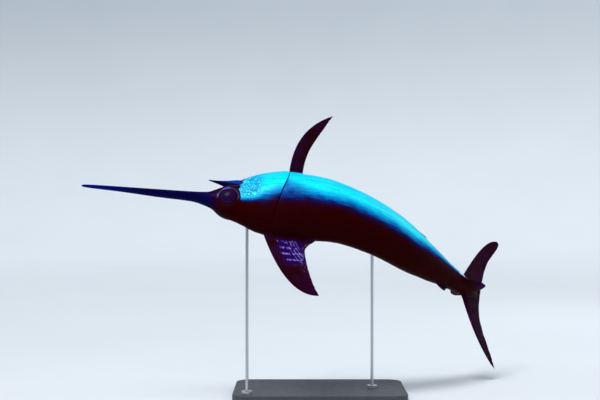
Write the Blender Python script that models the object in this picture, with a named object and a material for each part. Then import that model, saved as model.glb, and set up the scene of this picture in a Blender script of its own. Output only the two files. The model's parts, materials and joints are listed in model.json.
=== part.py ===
# A swordfish as a life-size display model: belly up, banked and bending its tail, on a two-rod stand.
#
# The fish is drawn straight and then placed. A point of the straight fish is (s, v, w), in metres:
# s runs tailward from the corner of the mouth, v towards the back and w towards the fish's left.
# place() carries it to the world, where the bill points to -X and the origin is under the base.

import math

import bmesh
import bpy
import numpy as np
from mathutils import Matrix, Vector

# Pose of the fish
MOUTH_AT = Vector((-0.32, -0.13, 0.796))
BANK = math.radians(34)  # the back leans this far to -Y from straight down
PITCH = math.radians(2)  # bill up
BEND = ((0.00, 5), (0.15, 7), (0.30, 14), (0.45, 28.5), (0.62, 38), (0.85, 46.5), (1.25, 50))
TWIST = ((1.20, 0), (1.45, 6))  # degrees by which the tail rolls to the left
LIFT = (  # how far the rear bends to the belly's side
    (0.60, 0.0),
    (0.85, -0.008),
    (1.10, -0.008),
    (1.20, -0.006),
    (1.47, 0.030),
)
BEND_STEP = 0.005

# Landmarks along the fish
BILL_TIP = -0.631
BILL_END = -0.130
JAW_TIP = -0.133
HEAD_END = 0.200
TRUNK_ENDS = (0.500, 0.800, 1.080)
STALK_END = 1.275
FORK = 1.335
GAP = 0.0003  # between neighbouring solids
WELD = 0.00002  # points nearer than this after a cut are one

# Sections: s, height of the back, depth of the belly, half width
BODY = (
    (-0.631, -0.0068, 0.0142, 0.0050),
    (-0.600, -0.0048, 0.0160, 0.0088),
    (-0.480, -0.0008, 0.0172, 0.0140),
    (-0.320, 0.0082, 0.0176, 0.0220),
    (-0.200, 0.0128, 0.0184, 0.0270),
    (-0.130, 0.0330, 0.0240, 0.0330),
    (-0.060, 0.0775, 0.0620, 0.0460),
    (0.000, 0.1015, 0.0950, 0.0580),
    (0.080, 0.1355, 0.1300, 0.0780),
    (0.180, 0.1535, 0.1500, 0.0910),
    (0.300, 0.1400, 0.1520, 0.0900),
    (0.450, 0.1220, 0.1420, 0.0840),
    (0.600, 0.1180, 0.1290, 0.0790),
    (0.750, 0.1120, 0.1130, 0.0730),
    (0.900, 0.0930, 0.0830, 0.0610),
    (1.050, 0.0650, 0.0560, 0.0450),
    (1.200, 0.0420, 0.0430, 0.0330),
    (1.275, 0.0330, 0.0330, 0.0140),
)
# Roof of the mouth and flat underside of the bill: s, depth
MOUTH_ROOF = (
    (-0.631, 0.0130),
    (-0.480, 0.0150),
    (-0.320, 0.0152),
    (-0.200, 0.0154),
    (-0.130, 0.0185),
    (-0.080, 0.0310),
    (-0.040, 0.0395),
    (0.000, 0.0450),
)
# Lower jaw: s, depth of its flat top, depth of its underside, half width
JAW = (
    (-0.133, 0.0880, 0.0905, 0.0020),
    (-0.100, 0.0815, 0.0885, 0.0075),
    (-0.068, 0.0735, 0.0895, 0.0160),
    (-0.028, 0.0560, 0.0925, 0.0360),
    (0.000, 0.0455, 0.0970, 0.0510),
)
JAW_LEAN = 0.006  # the head's face behind the jaw leans tailward this much over its depth
LIP = 0.0028

# Ring of points round a section: steps from the back to the mouth line, and on to the belly
UPPER_STEPS = 10
LOWER_STEPS = 5
RING_SPACING = {"bill": 0.045, "head": 0.022, "trunk": 0.042, "stalk": 0.024}

# Head
EYE_S = -0.050
EYE_ANGLE = math.radians(7.5)
EYE_RADIUS = 0.038
EYE_THICKNESS = 0.034
EYE_SUNK = 0.006
EYE_RIM = 0.0045
EYE_RIM_OUT, EYE_RIM_SUNK = 0.002, 0.004
NOSTRILS = ((-0.104, 21), (-0.093, 23))  # s and angle up the side, degrees
NOSTRIL_RADIUS = 0.0028
GILL_FRONT, GILL_REAR = 0.038, 0.188
GILL_LOW, GILL_HIGH = math.radians(-78), math.radians(46)
GILL_SLANT, GILL_ROUND = 0.050, 0.014
GILL_TURN = (0.15, 0.90)  # shares of its height between which the rear edge slants forward
GILL_THICKNESS = 0.005
GILL_RAISE, GILL_FLARE = 0.0012, 0.0035  # height over the skin at the front, and more at the rear edge
GILL_ROOM = 0.0006  # round the cover, in its recess

# Fins
FIN_SUNK = 0.014
RAY_RIDGE = 0.0007
# Fins on the middle line: side of the fish (1 back, -1 belly), ends of the root, point that bends the
# leading ray, rays and rows, half thickness at root and tip, trailing edge (a, s, h)
MIDDLE_FINS = {
    "dorsal_fin": (
        1,
        (0.094, 0.292),
        (0.198, 0.424),
        (16, 9),
        (0.0085, 0.0010),
        (
            (0.00, 0.330, 0.393),
            (0.20, 0.306, 0.346),
            (0.45, 0.278, 0.262),
            (0.68, 0.268, 0.204),
            (0.84, 0.281, 0.176),
            (1.00, 0.308, 0.152),
        ),
    ),
    "second_dorsal_fin": (
        1,
        (0.965, 1.035),
        (0.990, 0.097),
        (5, 5),
        (0.0050, 0.0009),
        ((0.0, 1.040, 0.093), (0.5, 1.051, 0.080), (1.0, 1.062, 0.070)),
    ),
    "anal_fin": (  # folded back along the belly
        -1,
        (0.690, 0.835),
        (0.795, 0.139),
        (10, 6),
        (0.0070, 0.0010),
        ((0.00, 0.925, 0.118), (0.35, 0.885, 0.112), (0.70, 0.862, 0.108), (1.00, 0.868, 0.098)),
    ),
    "second_anal_fin": (
        -1,
        (0.972, 1.042),
        (0.992, 0.091),
        (5, 5),
        (0.0050, 0.0009),
        ((0.0, 1.046, 0.086), (0.5, 1.056, 0.074), (1.0, 1.068, 0.063)),
    ),
}

PECTORAL_BASE = (0.188, 0.242)
PECTORAL_OUT = 0.040  # distance of the root from the middle of the belly
PECTORAL_SPREAD = {"left": math.radians(58), "right": math.radians(34)}
PECTORAL_BEND = (0.184, 0.168)
PECTORAL_HALF = (0.0070, 0.0010)
PECTORAL_EDGE = (
    (0.00, 0.318, 0.253),
    (0.22, 0.298, 0.202),
    (0.50, 0.272, 0.143),
    (0.75, 0.252, 0.090),
    (0.90, 0.244, 0.050),
    (1.00, 0.2405, 0.016),
)

# Keels on the tail's stalk: s, half width over the keels, half thickness at the root
KEEL = (
    (1.090, 0.041, 0.003),
    (1.145, 0.047, 0.008),
    (1.186, 0.063, 0.012),
    (1.226, 0.082, 0.012),
    (1.248, 0.081, 0.010),
    (1.262, 0.071, 0.008),
    (1.272, 0.052, 0.006),
)
KEEL_ROOT = 0.45  # share of the stalk's half width where a keel starts
KEEL_EDGE = 0.0016

# Lobes of the tail fin: side of the fish, point that bends the leading ray, trailing edge (a, s, h)
LOBES = {
    "dorsal": (
        1,
        (1.251, 0.238),
        (
            (0.00, 1.481, 0.319),
            (0.16, 1.450, 0.274),
            (0.34, 1.398, 0.220),
            (0.52, 1.357, 0.172),
            (0.68, 1.333, 0.125),
            (0.82, 1.325, 0.080),
            (1.00, FORK, GAP / 2),
        ),
    ),
    "ventral": (
        -1,
        (1.360, 0.291),
        (
            (0.00, 1.4445, 0.315),
            (0.06, 1.470, 0.322),
            (0.12, 1.484, 0.314),
            (0.19, 1.474, 0.288),
            (0.34, 1.433, 0.235),
            (0.52, 1.394, 0.182),
            (0.68, 1.373, 0.134),
            (0.82, 1.358, 0.088),
            (1.00, FORK, GAP / 2),
        ),
    ),
}

LOBE_ROOT = (1.188, 1.258)
LOBE_ROOT_HEIGHT = 0.034
LOBE_HALF = (0.0125, 0.0011)

# Stand
BASE_SIZE = Vector((0.70, 0.44, 0.030))
BASE_CORNER = 0.060
BASE_EDGE = 0.004
ROD_RADIUS = 0.006
ROD_SUNK = 0.045  # how far a rod runs up past the skin before it is cut to it
ROD_AT = {"front": 0.036, "rear": 0.600}
COLLAR_RADIUS, COLLAR_HEIGHT = 0.022, 0.012

COLOURS = {
    "back": ((0.030, 0.012, 0.020), 0.34),
    "bill": ((0.020, 0.010, 0.018), 0.42),
    "jaw": ((0.10, 0.30, 0.38), 0.36),
    "gill_cover": ((0.12, 0.62, 0.72), 0.30),
    "eye": ((0.010, 0.012, 0.020), 0.08),
    "fin": ((0.045, 0.010, 0.030), 0.40),
    "keel": ((0.030, 0.012, 0.022), 0.38),
    "base": ((0.060, 0.060, 0.065), 0.55),
    "rod": ((0.55, 0.56, 0.58), 0.28),
}


def curve(rows, at, column=1):
    """Value of a column at the places `at`, smooth through the rows and with no overshoot."""
    x = np.array([row[0] for row in rows])
    y = np.array([row[column] for row in rows], float)
    step = np.diff(x)
    slope = np.diff(y) / step
    tangent = np.concatenate(([slope[0]], np.zeros(len(x) - 2), [slope[-1]]))
    for i in range(1, len(x) - 1):
        if slope[i - 1] * slope[i] > 0:
            tangent[i] = 2 * slope[i - 1] * slope[i] / (slope[i - 1] + slope[i])
    i = np.clip(np.searchsorted(x, at, side="right") - 1, 0, len(x) - 2)
    t = np.clip((at - x[i]) / step[i], 0, 1)
    ahead, behind = (1 - t) ** 2, t**2
    return (
        ahead * ((1 + 2 * t) * y[i] + t * step[i] * tangent[i])
        + behind * ((3 - 2 * t) * y[i + 1] - (1 - t) * step[i] * tangent[i + 1])
    )


TRACK_S = np.arange(-0.75, 1.65, BEND_STEP)
TRACK_HEADING = np.radians(curve(BEND, TRACK_S))
TRACK_ALONG = np.cumsum(np.cos(TRACK_HEADING)) * BEND_STEP
TRACK_ASIDE = np.cumsum(np.sin(TRACK_HEADING)) * BEND_STEP
TRACK_ALONG -= np.interp(0, TRACK_S, TRACK_ALONG)
TRACK_ASIDE -= np.interp(0, TRACK_S, TRACK_ASIDE)
TAILWARD = Matrix.Rotation(PITCH, 3, "Y") @ Vector((1, 0, 0))
LEFT = Matrix.Rotation(PITCH, 3, "Y") @ Vector((0, math.cos(BANK), -math.sin(BANK)))
UP_BACK = Matrix.Rotation(PITCH, 3, "Y") @ Vector((0, -math.sin(BANK), -math.cos(BANK)))


def place(s, v, w):
    """World point of (s, v, w) on the straight fish."""
    roll = math.radians(float(curve(TWIST, s)))
    heading = float(np.interp(s, TRACK_S, TRACK_HEADING))
    up = v * math.cos(roll) - w * math.sin(roll) - float(curve(LIFT, s))
    side = w * math.cos(roll) + v * math.sin(roll)
    along = float(np.interp(s, TRACK_S, TRACK_ALONG)) - side * math.sin(heading)
    aside = float(np.interp(s, TRACK_S, TRACK_ASIDE)) + side * math.cos(heading)
    return MOUTH_AT + along * TAILWARD + aside * LEFT + up * UP_BACK


def section(s):
    """Middle height, half height and half width of the body's section at s."""
    back, belly, half_width = (float(curve(BODY, s, column)) for column in (1, 2, 3))
    return (back - belly) / 2, (back + belly) / 2, half_width


def skin_at(s, angle, out=0.0, left=1):
    """(v, w) on the section at s, at an angle up from the side, moved out square to the skin."""
    middle, half_height, half_width = section(s)
    normal = Vector((math.sin(angle) / half_height, math.cos(angle) / half_width)).normalized()
    v = middle + half_height * math.sin(angle) + out * normal[0]
    w = half_width * math.cos(angle) + out * normal[1]
    return v, left * w


def mouth_angle(s):
    middle, half_height, _ = section(s)
    return math.asin(max(-0.99, min(0.99, (-float(curve(MOUTH_ROOF, s)) - middle) / half_height)))


def side_angles(s):
    """Angles from the back down one side to the belly, with one of them on the mouth line."""
    turn = mouth_angle(min(s, 0))
    upper = np.linspace(math.pi / 2, turn, UPPER_STEPS + 1)
    lower = np.linspace(turn, -math.pi / 2, LOWER_STEPS + 1)[1:]
    return [*upper, *lower]


def round_both_sides(half):
    """A closed ring from the points of its left half, which runs from the back to the belly."""
    return half + [(v, -w) for v, w in half[-2:0:-1]]


def body_ring(s, out=0.0):
    """Full section of the trunk."""
    return [(s, v, w) for v, w in round_both_sides([skin_at(s, a, out) for a in side_angles(s)])]


def snout_ring(s, out=0.0):
    """Section before the corner of the mouth: the upper jaw, flat below and with a lip."""
    roof = -float(curve(MOUTH_ROOF, s)) - out
    lip = LIP * min(1.0, max(0.0, (s - BILL_END) / 0.03))
    half = []
    for number, angle in enumerate(side_angles(s)):
        if number < UPPER_STEPS:
            half.append(skin_at(s, angle, out))
        else:
            v, w = skin_at(s, angle, out + (lip if number == UPPER_STEPS else 0))
            half.append((roof, w))
    return [(s, v, w) for v, w in round_both_sides(half)]


def jaw_ring(s):
    """Section of the lower jaw, flat on top, with the points of the body's lower side."""
    top, bottom, half_width = (float(curve(JAW, s, column)) for column in (1, 2, 3))
    turn = -mouth_angle(0)
    angles = np.linspace(turn, math.pi / 2, LOWER_STEPS + 1)
    rear = max(0.0, 1 + s / 0.03)
    corner, throat = MOUTH_ROOF[-1][1], float(curve(BODY, JAW_LEAN, 2))
    below = []
    for angle in angles:
        share = (math.sin(angle) - math.sin(turn)) / (1 - math.sin(turn))
        depth = top + share * (bottom - top)
        lean = JAW_LEAN * (depth - corner) / (throat - corner) - 1.5 * GAP
        below.append((s + lean * rear, -depth, half_width * math.cos(angle) / math.cos(turn)))
    above = [(s - GAP * rear, -top, w) for _, _, w in below[1:]]
    right = [(a, v, -w) for a, v, w in below[-2::-1]]
    right_top = [(a, v, -w) for a, v, w in above[:-1]]
    return below + right + right_top + above[-1:] + above[-2::-1]


def spaced(start, end, spacing):
    return [float(s) for s in np.linspace(start, end, max(2, round((end - start) / spacing) + 1))]


def new_object(name, mesh, colour, collection):
    item = bpy.data.objects.new(name, mesh)
    collection.objects.link(item)
    if colour:
        mesh.materials.append(materials[colour])
    mesh.shade_smooth()
    mesh.set_sharp_from_angle(angle=math.radians(40))
    return item


def mesh_of(name, points, faces):
    """A mesh of these points and faces, facing out."""
    shape = bmesh.new()
    corners = [shape.verts.new(point) for point in points]
    for face in faces:
        shape.faces.new([corners[number] for number in face])
    bmesh.ops.recalc_face_normals(shape, faces=shape.faces)
    mesh = bpy.data.meshes.new(name)
    shape.to_mesh(mesh)
    shape.free()
    return mesh


def loft(name, rings, colour, collection):
    """Closed tube through rings of straight-fish points, with flat ends."""
    points = [place(*point) for ring in rings for point in ring]
    count = len(rings[0])
    faces = [list(range(count)), list(range(len(points) - count, len(points)))]
    for row in range(len(rings) - 1):
        for number in range(count):
            after = (number + 1) % count
            near, far = row * count, (row + 1) * count
            faces.append((near + number, near + after, far + after, far + number))
    return new_object(name, mesh_of(name, points, faces), colour, collection)


def sheet_solid(name, outer, inner, colour, collection):
    """Closed solid between two like grids of world points, split into triangles alike on both."""
    rows, columns = len(outer), len(outer[0])
    points = [p for row in outer for p in row] + [p for row in inner for p in row]
    other = rows * columns
    faces = []
    for row in range(rows - 1):
        for column in range(columns - 1):
            a = row * columns + column
            b, c, d = a + 1, a + columns + 1, a + columns
            for triangle in ((a, b, c), (a, c, d)):
                faces.append(triangle)
                faces.append(tuple(number + other for number in triangle[::-1]))
    rim = [column for column in range(columns)]
    rim += [row * columns + columns - 1 for row in range(1, rows)]
    rim += [(rows - 1) * columns + column for column in range(columns - 2, -1, -1)]
    rim += [row * columns for row in range(rows - 2, 0, -1)]
    for near, far in zip(rim, rim[1:] + rim[:1]):
        faces.append((near, far, far + other))
        faces.append((near, far + other, near + other))
    return new_object(name, mesh_of(name, points, faces), colour, collection)


def settle(item):
    """Applies the modifiers and keeps the largest closed surface."""
    graph = bpy.context.evaluated_depsgraph_get()
    mesh = bpy.data.meshes.new_from_object(item.evaluated_get(graph))
    item.modifiers.clear()
    item.data = mesh
    shape = bmesh.new()
    shape.from_mesh(mesh)
    bmesh.ops.remove_doubles(shape, verts=shape.verts, dist=WELD)
    bmesh.ops.triangulate(shape, faces=shape.faces)
    left = set(shape.faces)
    shells = []
    while left:
        found = {left.pop()}
        edge_of = list(found)
        while edge_of:
            near = {f for e in edge_of.pop().edges for f in e.link_faces} & left
            left -= near
            found |= near
            edge_of += near
        shells.append(found)
    biggest = max(shells, key=lambda shell: sum(f.calc_area() for f in shell))
    bmesh.ops.delete(shape, geom=[f for f in shape.faces if f not in biggest], context="FACES")
    shape.to_mesh(mesh)
    shape.free()


def cut(item, cutter):
    change = item.modifiers.new(f"cut by {cutter.name}", "BOOLEAN")
    change.object = cutter


def join(item, pieces):
    """Joins closed pieces to the item with one Boolean, and removes them."""
    group = bpy.data.collections.new(f"{item.name} pieces")
    for piece in pieces:
        for owner in piece.users_collection:
            owner.objects.unlink(piece)
        group.objects.link(piece)
    scene_root.children.link(group)
    change = item.modifiers.new("join", "BOOLEAN")
    change.operation = "UNION"
    change.operand_type = "COLLECTION"
    change.collection = group
    settle(item)
    for piece in pieces:
        bpy.data.objects.remove(piece)
    bpy.data.collections.remove(group)


def frame_on_skin(s, angle, left, sunk=0.0):
    """Matrix with its origin on the skin, or sunk below it, and its Z axis square to the skin."""
    near = place(s, *skin_at(s, angle, 0, left))
    ahead = place(s - 0.02, *skin_at(s - 0.02, angle, 0, left))
    behind = place(s + 0.02, *skin_at(s + 0.02, angle, 0, left))
    above = place(s, *skin_at(s, angle + 0.1, 0, left))
    below = place(s, *skin_at(s, angle - 0.1, 0, left))
    along = (behind - ahead).normalized()
    normal = along.cross(above - below).normalized()
    out = place(s, *skin_at(s, angle, 0.01, left)) - near
    if normal.dot(out) < 0:
        normal = -normal
    turn = Matrix((along, normal.cross(along), normal)).transposed()
    return Matrix.Translation(near - normal * sunk) @ turn.to_4x4()


def ball(name, matrix, radius, half_thickness, colour, collection, segments=24):
    """Ellipsoid: round in its XY plane and thinner along Z."""
    shape = bmesh.new()
    bmesh.ops.create_uvsphere(shape, u_segments=segments, v_segments=segments // 2, radius=1)
    size = Matrix.Diagonal((radius, radius, half_thickness, 1))
    bmesh.ops.transform(shape, matrix=matrix @ size, verts=shape.verts)
    mesh = bpy.data.meshes.new(name)
    shape.to_mesh(mesh)
    shape.free()
    return new_object(name, mesh, colour, collection)


def ring_bar(name, matrix, radius, bar, colour, collection):
    """Torus in the XY plane of the matrix."""
    points, faces = [], []
    around, across = 24, 6
    for i in range(around):
        turn = 2 * math.pi * (i + 0.5) / around
        for j in range(across):
            tilt = 2 * math.pi * j / across
            reach = radius + bar * math.cos(tilt)
            spot = (reach * math.cos(turn), reach * math.sin(turn), bar * math.sin(tilt))
            points.append(matrix @ Vector(spot))
            here, there = i * across, (i + 1) % around * across
            after = (j + 1) % across
            faces.append((here + j, there + j, there + after, here + after))
    return new_object(name, mesh_of(name, points, faces), colour, collection)


def gill_patch(left, low, high, margin):
    """Grid of world points over the gill cover's outline, from height `low` to `high` above the skin."""
    grids = []
    rows, columns = 11, 9
    for lift in (low, high):
        grid = []
        for i in range(rows):
            b = i / (rows - 1)
            angle = GILL_LOW - margin * 8 + (GILL_HIGH - GILL_LOW + margin * 16) * b
            rounding = GILL_ROUND * abs(2 * b - 1) ** 4
            front = GILL_FRONT + rounding - margin
            turn = min(1.0, max(0.0, (b - GILL_TURN[0]) / (GILL_TURN[1] - GILL_TURN[0])))
            rear = GILL_REAR - GILL_SLANT * turn**2 * (3 - 2 * turn) - rounding + margin
            line = []
            for j in range(columns):
                a = j / (columns - 1)
                s = front + (rear - front) * a
                flare = GILL_FLARE * a**2 if lift == high else 0
                line.append(place(s, *skin_at(s, angle, lift + flare, left)))
            grid.append(line)
        grids.append(grid)
    return grids[1], grids[0]


def fin(name, root, control, outline, rays, rows, half_thickness, spot, collection):
    """Fin blade with a raised ray at every other column.

    root(a) and the outline's rows (a, s, h) give a ray's two ends in the fin's plane, from the
    leading ray (a = 0) to the last (a = 1). control bends the leading ray, and the rest less and
    less. half_thickness is (root, tip), and spot(s, h, side) is a world point.
    """
    columns = 2 * rays - 1
    sides = ([], [])
    for column in range(columns):
        a = column / (columns - 1)
        start = Vector(root(a))
        end = Vector((float(curve(outline, a, 1)), float(curve(outline, a, 2))))
        middle = (start + end) / 2
        bent = middle + (Vector(control) - (Vector(root(0)) + Vector(outline[0][1:])) / 2) * (1 - a) ** 2
        edge = 0.5 if column in (0, columns - 1) else 1.0
        lines = ([], [])
        for row in range(rows):
            b = row / (rows - 1)
            at = (1 - b) ** 2 * start + 2 * b * (1 - b) * bent + b**2 * end
            thin = (1 - b) ** 1.7 * (1 - 0.6 * a)
            half = half_thickness[1] + (half_thickness[0] - half_thickness[1]) * thin
            half = half * edge + (RAY_RIDGE * (1 - 0.6 * b) if column % 2 == 0 else 0)
            for line, side in zip(lines, (half, -half)):
                line.append(spot(at[0], at[1], side))
        for side, line in zip(sides, lines):
            side.append(line)
    return sheet_solid(name, sides[0], sides[1], "fin", collection)


def make_middle_fin(name, collection):
    """Fin on the back or the belly, its root sunk in the flesh."""
    towards, (start, end), bend, (rays, rows), half_thickness, outline = MIDDLE_FINS[name]

    def root(a):
        s = start + (end - start) * a
        return s, float(curve(BODY, s, 1 if towards > 0 else 2)) - FIN_SUNK

    def spot(s, h, side):
        return place(s, towards * h, side)

    return fin(name, root, bend, outline, rays, rows, half_thickness, spot, collection)


def make_tail_lobe(name, collection):
    towards, bend, outline = LOBES[name]
    start, end = LOBE_ROOT

    def root(a):
        return start + (end - start) * a, LOBE_ROOT_HEIGHT * (1 - a) ** 0.8 + GAP / 2

    def spot(s, h, side):
        return place(s, towards * h, side)

    return fin(f"tail_lobe_{name}", root, bend, outline, 9, 9, LOBE_HALF, spot, collection)


def make_pectoral_fin(side, collection):
    """Long stiff fin low on the side. Its plane opens outward from the belly by its spread."""
    left = 1 if side == "left" else -1
    spread = PECTORAL_SPREAD[side]
    middle, half_height, half_width = section(sum(PECTORAL_BASE) / 2)
    height = middle - half_height * math.sqrt(1 - (PECTORAL_OUT / half_width) ** 2)

    def root(a):
        return PECTORAL_BASE[0] + (PECTORAL_BASE[1] - PECTORAL_BASE[0]) * a, -FIN_SUNK

    def spot(s, h, aside):
        v = height - h * math.cos(spread) + aside * math.sin(spread)
        w = PECTORAL_OUT + h * math.sin(spread) + aside * math.cos(spread)
        return place(s, v, left * w)

    name = f"pectoral_fin_{side}"
    return fin(name, root, PECTORAL_BEND, PECTORAL_EDGE, 13, 9, PECTORAL_HALF, spot, collection)


def make_keel(side, collection):
    left = 1 if side == "left" else -1
    rings = []
    for s in spaced(KEEL[0][0], KEEL[-1][0], 0.0150):
        reach, thick = float(curve(KEEL, s, 1)), float(curve(KEEL, s, 2))
        root = section(s)[2] * KEEL_ROOT
        middle = root + (reach - root) * 0.55
        half = [(thick, root), (thick * 0.62, middle), (KEEL_EDGE, reach)]
        ring = half + [(-v, w) for v, w in half[::-1]]
        rings.append([(s, v, left * w) for v, w in ring])
    return loft(f"keel_{side}", rings, "keel", collection)


def make_head(collection, cutters):
    front = [snout_ring(s) for s in spaced(BILL_END + GAP, 0.0, RING_SPACING["head"])]
    rear = [body_ring(s) for s in spaced(JAW_LEAN, HEAD_END - GAP, RING_SPACING["head"])]
    head = loft("head", front + rear, "back", collection)
    rims = []
    for left in (1, -1):
        seat = frame_on_skin(EYE_S, EYE_ANGLE, left, EYE_RIM_SUNK)
        rims.append(ring_bar("eye rim", seat, EYE_RADIUS + EYE_RIM_OUT, EYE_RIM, "back", collection))
    join(head, rims)
    for side, left in (("left", 1), ("right", -1)):
        seat = frame_on_skin(EYE_S, EYE_ANGLE, left, EYE_SUNK)
        ball(f"eye_{side}", seat, EYE_RADIUS, EYE_THICKNESS / 2, "eye", collection)
        room = EYE_THICKNESS / 2 + 2 * GAP
        cut(head, ball(f"eye socket {side}", seat, EYE_RADIUS + 2 * GAP, room, None, cutters))
        for number, (s, angle) in enumerate(NOSTRILS):
            spot = frame_on_skin(s, math.radians(angle), left)
            size = NOSTRIL_RADIUS
            cut(head, ball(f"nostril {side} {number}", spot, size, size * 1.6, None, cutters, 10))
        cover = gill_patch(left, -GILL_THICKNESS, GILL_RAISE, 0.0)
        sheet_solid(f"gill_cover_{side}", *cover, "gill_cover", collection)
        recess = gill_patch(left, -GILL_THICKNESS - GILL_ROOM, 0.020, GILL_ROOM)
        cut(head, sheet_solid(f"gill recess {side}", *recess, None, cutters))
    settle(head)


def make_body(collection, cutters):
    bill = [snout_ring(s) for s in spaced(BILL_TIP, BILL_END, RING_SPACING["bill"])]
    loft("bill", bill, "bill", collection)
    make_head(collection, cutters)
    jaw = [jaw_ring(s) for s in spaced(JAW_TIP, 0.0, RING_SPACING["head"])]
    loft("lower_jaw", jaw, "jaw", collection)
    starts = (HEAD_END, *TRUNK_ENDS)
    ends = (*TRUNK_ENDS, STALK_END)
    for name, start, end in zip(("front", "middle", "rear"), starts, ends):
        rings = [body_ring(s) for s in spaced(start, end - GAP, RING_SPACING["trunk"])]
        loft(f"trunk_{name}", rings, "back", collection)
    stalk = [body_ring(s) for s in spaced(TRUNK_ENDS[-1], STALK_END, RING_SPACING["stalk"])]
    loft("tail_stalk", stalk, "back", collection)


def make_flesh_room(cutters):
    """The whole body, larger all round by the gap that fins and rods keep to it."""
    out = 1.3 * GAP
    places = []
    for start, end, part in (
        (JAW_LEAN, HEAD_END - GAP, "head"),
        *zip((HEAD_END, *TRUNK_ENDS[:-1]), [end - GAP for end in TRUNK_ENDS], ("trunk",) * 3),
        (TRUNK_ENDS[-1], STALK_END, "stalk"),
    ):
        places += spaced(start, end, RING_SPACING[part])
    rings = [body_ring(s, out) for s in places]
    rings.append([(STALK_END + GAP, v, w) for _, v, w in rings[-1]])
    return loft("flesh room", rings, None, cutters)


def make_base(collection):
    shape = bmesh.new()
    bmesh.ops.create_cube(shape, size=1)
    bmesh.ops.scale(shape, vec=BASE_SIZE, verts=shape.verts)
    bmesh.ops.translate(shape, vec=(0, 0, BASE_SIZE.z / 2), verts=shape.verts)
    upright = [e for e in shape.edges if abs(e.verts[0].co.z - e.verts[1].co.z) > BASE_SIZE.z / 2]
    bmesh.ops.bevel(shape, geom=upright, offset=BASE_CORNER, segments=6, affect="EDGES", profile=0.5)
    top = [e for e in shape.edges if min(v.co.z for v in e.verts) > BASE_SIZE.z - 1e-5]
    bmesh.ops.bevel(shape, geom=top, offset=BASE_EDGE, segments=2, affect="EDGES", profile=0.5)
    mesh = bpy.data.meshes.new("stand_base")
    shape.to_mesh(mesh)
    shape.free()
    return new_object("stand_base", mesh, "base", collection)


def make_rod(name, s, flesh_room, collection):
    """Upright rod with a collar, under the lowest point of the body at s, cut to its shape."""
    body = [place(*point) for point in body_ring(s)]
    lowest = min(body, key=lambda point: point.z)
    bottom = BASE_SIZE.z + GAP
    height = lowest.z + ROD_SUNK - bottom
    shape = bmesh.new()
    for radius, length in ((ROD_RADIUS, height), (COLLAR_RADIUS, COLLAR_HEIGHT)):
        spot = Matrix.Translation((lowest.x, lowest.y, bottom + length / 2))
        bmesh.ops.create_cone(
            shape, cap_ends=True, segments=24, radius1=radius, radius2=radius, depth=length, matrix=spot
        )
        if radius == ROD_RADIUS:
            rod_mesh = bpy.data.meshes.new(name)
            shape.to_mesh(rod_mesh)
            shape.clear()
    collar_mesh = bpy.data.meshes.new(f"{name} collar")
    shape.to_mesh(collar_mesh)
    shape.free()
    rod = new_object(name, rod_mesh, "rod", collection)
    join(rod, [new_object(f"{name} collar", collar_mesh, "rod", collection)])
    cut(rod, flesh_room)
    settle(rod)


def make_materials():
    made = {}
    for name, (colour, roughness) in COLOURS.items():
        made[name] = bpy.data.materials.new(name)
        made[name].use_nodes = True
        shader = made[name].node_tree.nodes["Principled BSDF"]
        shader.inputs["Base Color"].default_value = (*colour, 1)
        shader.inputs["Roughness"].default_value = roughness
        shader.inputs["Metallic"].default_value = 1.0 if name == "rod" else 0.0
        made[name].diffuse_color = (*colour, 1)
    return made


for item in list(bpy.data.objects):
    bpy.data.objects.remove(item)
scene_root = bpy.context.scene.collection
swordfish = bpy.data.collections.new("swordfish")
cutters = bpy.data.collections.new("cutters")
scene_root.children.link(swordfish)
scene_root.children.link(cutters)
materials = make_materials()

make_body(swordfish, cutters)
flesh_room = make_flesh_room(cutters)
fins = [
    *[make_middle_fin(name, swordfish) for name in MIDDLE_FINS],
    make_pectoral_fin("left", swordfish),
    make_pectoral_fin("right", swordfish),
    make_tail_lobe("dorsal", swordfish),
    make_tail_lobe("ventral", swordfish),
    make_keel("left", swordfish),
    make_keel("right", swordfish),
]
for blade in fins:
    cut(blade, flesh_room)
    settle(blade)
make_base(swordfish)
for end, s in ROD_AT.items():
    make_rod(f"stand_rod_{end}", s, flesh_room, swordfish)
for cutter in cutters.objects:
    cutter.hide_render = True
    cutter.display_type = "WIRE"
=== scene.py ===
import json
import math

import bmesh
import bpy
import numpy as np
from mathutils import Matrix, Vector, noise
from mathutils.kdtree import KDTree

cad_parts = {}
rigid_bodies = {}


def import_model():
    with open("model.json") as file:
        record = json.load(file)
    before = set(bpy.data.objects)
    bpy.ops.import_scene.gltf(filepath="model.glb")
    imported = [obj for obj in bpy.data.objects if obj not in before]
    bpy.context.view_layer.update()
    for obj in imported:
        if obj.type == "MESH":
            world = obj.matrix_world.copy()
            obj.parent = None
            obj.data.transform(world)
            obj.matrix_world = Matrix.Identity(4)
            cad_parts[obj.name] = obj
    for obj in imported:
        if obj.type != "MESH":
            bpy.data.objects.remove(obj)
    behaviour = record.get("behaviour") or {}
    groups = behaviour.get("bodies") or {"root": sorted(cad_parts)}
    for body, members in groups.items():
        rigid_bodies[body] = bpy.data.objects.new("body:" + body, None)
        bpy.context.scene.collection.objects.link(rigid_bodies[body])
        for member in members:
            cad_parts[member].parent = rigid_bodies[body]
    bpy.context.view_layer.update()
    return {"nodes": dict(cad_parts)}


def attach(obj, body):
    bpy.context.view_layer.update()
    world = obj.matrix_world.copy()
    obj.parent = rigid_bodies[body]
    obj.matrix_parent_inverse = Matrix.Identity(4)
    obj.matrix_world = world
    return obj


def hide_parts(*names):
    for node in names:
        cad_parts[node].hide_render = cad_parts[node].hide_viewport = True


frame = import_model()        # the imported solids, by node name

print("frame loaded:", len(frame["nodes"]), "solids")

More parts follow.
